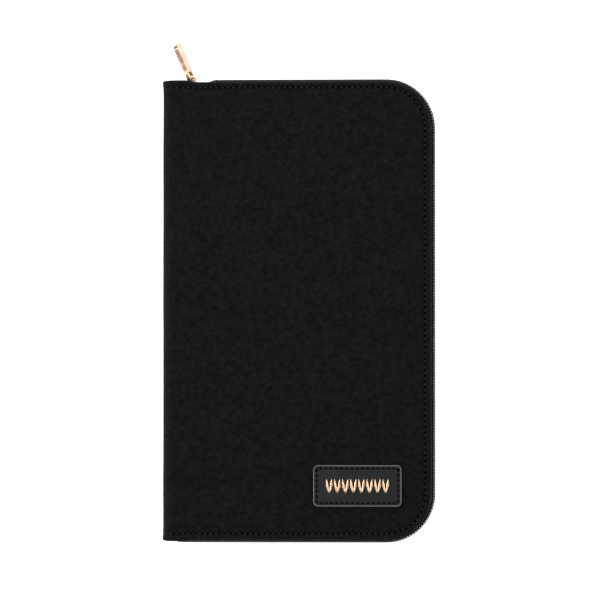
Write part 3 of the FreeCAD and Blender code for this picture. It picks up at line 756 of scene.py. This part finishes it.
def sleeve_cloth(name, node, rows, surface):
    """Cloth drawn over the row of tips; rows are (y, fullness, extra mm) up the row."""
    low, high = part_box(node)
    flat = tips_base + 0.6 * mm
    points = []
    for y, full, extra in rows:
        line = [(low.x, flat)]
        for x, size in tips:
            reach = size / 2 + (0.85 + extra) * mm
            axis = tips_base + 0.25 * mm + size / 2
            turns = [math.pi * k / 8 for k in range(9)]
            line += [(x - reach - 0.12 * mm, flat), (x - reach, flat + 0.25 * mm)]
            line += [(x - reach * math.cos(a), axis + reach * math.sin(a)) for a in turns]
            line += [(x + reach, flat + 0.25 * mm), (x + reach + 0.12 * mm, flat)]
        line.append((high.x, flat))
        for x, z in line:
            ruck = 0.16 * mm * noise.noise(Vector((x * 0.6, y, 1.0)) / (5 * mm)) * full
            points.append((x, y + ruck, flat + (z - flat) * full + max(0.0, ruck)))
    size = len(points) // len(rows)
    faces = []
    for k in range(len(rows) - 1):
        for s in range(size - 1):
            a = k * size + s
            faces.append((a, a + 1, a + size + 1, a + size))
    made = piece(name, points, faces, surface, (0, 0, 1), 80)
    thick = made.modifiers.new("cloth thickness", "SOLIDIFY")
    thick.thickness = 0.45 * mm
    thick.offset = -1.0
    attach(made, "back")
    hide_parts(node)
    return made


pocket_low, pocket_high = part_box("needle_pocket")
mouth = pocket_high.y
foot = pocket_low.y
sewn_end = [(0.0, 0.0), (1.4, 0.0), (2.4, 0.3), (3.4, 0.8), (4.6, 1.0)]
mouth_hem = [(7.2, 0), (6.6, -0.06), (6.2, 0.12), (3.0, 0.16), (0.6, 0.14), (0.0, 0.0)]
pocket_rows = [(foot + up * mm, full, 0) for up, full in sewn_end]
pocket_rows += [(y, 1.0, 0) for y in spread(foot + 7 * mm, mouth - 7.6 * mm, 2.6 * mm)]
pocket_rows += [(mouth - down * mm, 1, extra) for down, extra in mouth_hem]
pocket = sleeve_cloth("needle_pocket_cloth", "needle_pocket", pocket_rows, twill)
elastic = finish("black_ribbed_elastic", "#09090a", "#222226", 0.75, 6.0, 0.3, 0.9, weave=1.1,
                 Sheen_Weight=0.1)
band_low, band_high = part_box("needle_band")
band_ribs = 30
band_rows = []
for k in range(band_ribs + 1):
    y = band_low.y + (band_high.y - band_low.y) * k / band_ribs
    band_rows.append((y, 1.0, 0.12 if k % 2 and 1 < k < band_ribs - 1 else 0.0))
band = sleeve_cloth("needle_band_elastic", "needle_band", band_rows, elastic)


# ---- The needle tips
# Eight pairs of laminated birch tips, 3.5 to 8 mm, dyed veneers glued and turned to a long point and lacquered. Each
# has a turned brass ferrule with a socket for the cable and a cross hole for the tightening key.
birch = bpy.data.materials.new("laminated_dyed_birch")
birch.use_nodes = True
tree = birch.node_tree
place = add(tree, "TexCoord").outputs["Object"]
along = add(tree, "Mapping", {"Vector": place, "Scale": (1.0, 0.06, 1.0)})
fibre = add(tree, "TexNoise", {"Vector": along.outputs[0], "Scale": 2600.0, "Detail": 5.0})
veneer = add(tree, "TexWave", {"Vector": along.outputs[0], "Scale": 0.314 / (2.6 * mm), "Distortion": 0.25},
             bands_direction="Z")
layers = add(tree, "ValToRGB", {"Fac": veneer.outputs["Fac"]})
layers.color_ramp.interpolation = "EASE"
layers.color_ramp.elements[0].color = shade("#4a2a18")
layers.color_ramp.elements[1].color = shade("#9a6a42")
middle = layers.color_ramp.elements.new(0.5)
middle.color = shade("#6e4229")
fibre_share = add(tree, "MapRange", {"Value": fibre.outputs["Fac"], "To Min": 0.0, "To Max": 0.55})
grained = add(tree, "Mix", {0: fibre_share.outputs[0], 6: layers.outputs[0], 7: shade("#3a2114")},
              data_type="RGBA")
wood = tree.nodes["Principled BSDF"]
tree.links.new(grained.outputs[2], wood.inputs["Base Color"])
wood.inputs["Roughness"].default_value = 0.32
wood.inputs["Coat Weight"].default_value = 0.4
wood.inputs["Coat Roughness"].default_value = 0.15
relief = add(tree, "Bump", {"Height": fibre.outputs["Fac"], "Strength": 0.12, "Distance": 0.05 * mm})
tree.links.new(relief.outputs[0], wood.inputs["Normal"])
brass = finish("turned_brass", "#c69a52", "#e6c583", 0.22, 3.0, 0.3, 0.06, Metallic=1.0)
for size in tip_sizes:
    pair = "tips_%02d" % round(size * 10)
    clad(pair + "_shafts", birch)
    clad(pair + "_ferrules", brass)


# ---- The clear pockets
# Soft clear vinyl, 0.4 mm, bound on three sides with folded grosgrain and sewn to the front lining: a flat cable
# pocket closed by a small zip, and a deeper open pouch above it. Both are slack, so the vinyl ripples a little.
vinyl = finish("clear_soft_vinyl", "#f2f6f7", "#fbfdfe", 0.07, 30.0, 8.0, 0.02, Transmission_Weight=1.0,
               IOR=1.12)


def slack_sheet(name, node, ripple, surface):
    """A thin slack sheet in a CAD window's place."""
    low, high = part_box(node)
    count = 40
    points = []
    for i in range(count + 1):
        for j in range(count + 1):
            x = low.x + (high.x - low.x) * i / count
            y = low.y + (high.y - low.y) * j / count
            rim_share = min(i, j, count - i, count - j) / count * 4
            wave = noise.noise(Vector((x, y, 5.0)) / (19 * mm)) * ripple * min(1.0, rim_share)
            points.append((x, y, (low.z + high.z) / 2 + wave))
    faces = []
    for i in range(count):
        for j in range(count):
            a = i * (count + 1) + j
            faces.append((a, a + 1, a + count + 2, a + count + 1))
    made = piece(name, points, faces, surface, (0, 0, -1))
    thick = made.modifiers.new("vinyl thickness", "SOLIDIFY")
    thick.thickness = high.z - low.z
    thick.offset = 0.0
    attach(made, "front")
    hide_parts(node)
    return made


for name in ("cable_pocket", "pouch"):
    window = slack_sheet(name + "_vinyl", name + "_window", 0.25 * mm, vinyl)
    binding = softened(name + "_binding", 0.55, weave)
    low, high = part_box(name + "_binding")
    face = low.z - 0.05 * mm
    inset = (2.5 if name == "cable_pocket" else 1.5) * mm
    x0, x1, y0, y1 = low.x + inset, high.x - inset, low.y + inset, high.y - 1 * mm
    path = [Vector((x, y, face)) for x, y in ((x0, y1), (x0, y0), (x1, y0), (x1, y1))]
    sides = [path[0:2], path[1:3], path[2:4]]
    sewing = row(name + "_binding_stitch", sides, stitch(2.0, 0.4), 2.6 * mm, thread, 0.05, 11)
    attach(sewing, "front")


# ---- The pocket's zip
# A size 3 nylon coil zip on woven tape, sewn along the vinyl's top edge, with its own small plated slider and pull.
pocket_tape = softened("pocket_zip_tape", 0.25, weave)
small_low, small_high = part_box("pocket_zip_coil")
small_pitch = 1.2 * mm
small_radii = [(a * 0.72 * mm, b * 0.72 * mm) for a, b in coil_radii]
for side, sign, shift in (("lower", 1, 0.0), ("upper", -1, 0.5)):
    base = small_low.y if sign > 0 else small_high.y
    line = [Vector((x, base, small_high.z)) for x in (small_low.x + shift * small_pitch, small_high.x)]
    spiral = [Vector((a * small_pitch / pitch, sign * h * 0.6, -out * 0.84)) * mm for a, out, h in turn_line]
    small = row("pocket_coil_" + side, [line], tube(spiral, small_radii, 6), small_pitch, nylon)
    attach(small, "front")
    if sign > 0:
        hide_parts("pocket_zip_coil")
for node in ("pocket_zip_slider", "pocket_zip_puller"):
    part = softened(node, 0.2, rose_gold)


# ---- The small parts in the pouch
# Eight moulded end caps for parked cables, three turned brass connectors and four bent steel tightening keys.
cap_plastic = finish("black_moulded_plastic", "#121214", "#202024", 0.35, 5.0, 0.4, 0.12)
steel = finish("bright_steel_wire", "#a9abb0", "#d0d2d6", 0.25, 4.0, 0.2, 0.05, Metallic=1.0)
caps = softened("end_caps", 0.25, cap_plastic)
connectors = softened("cable_connectors", 0.15, brass)
clad("cable_keys", steel)
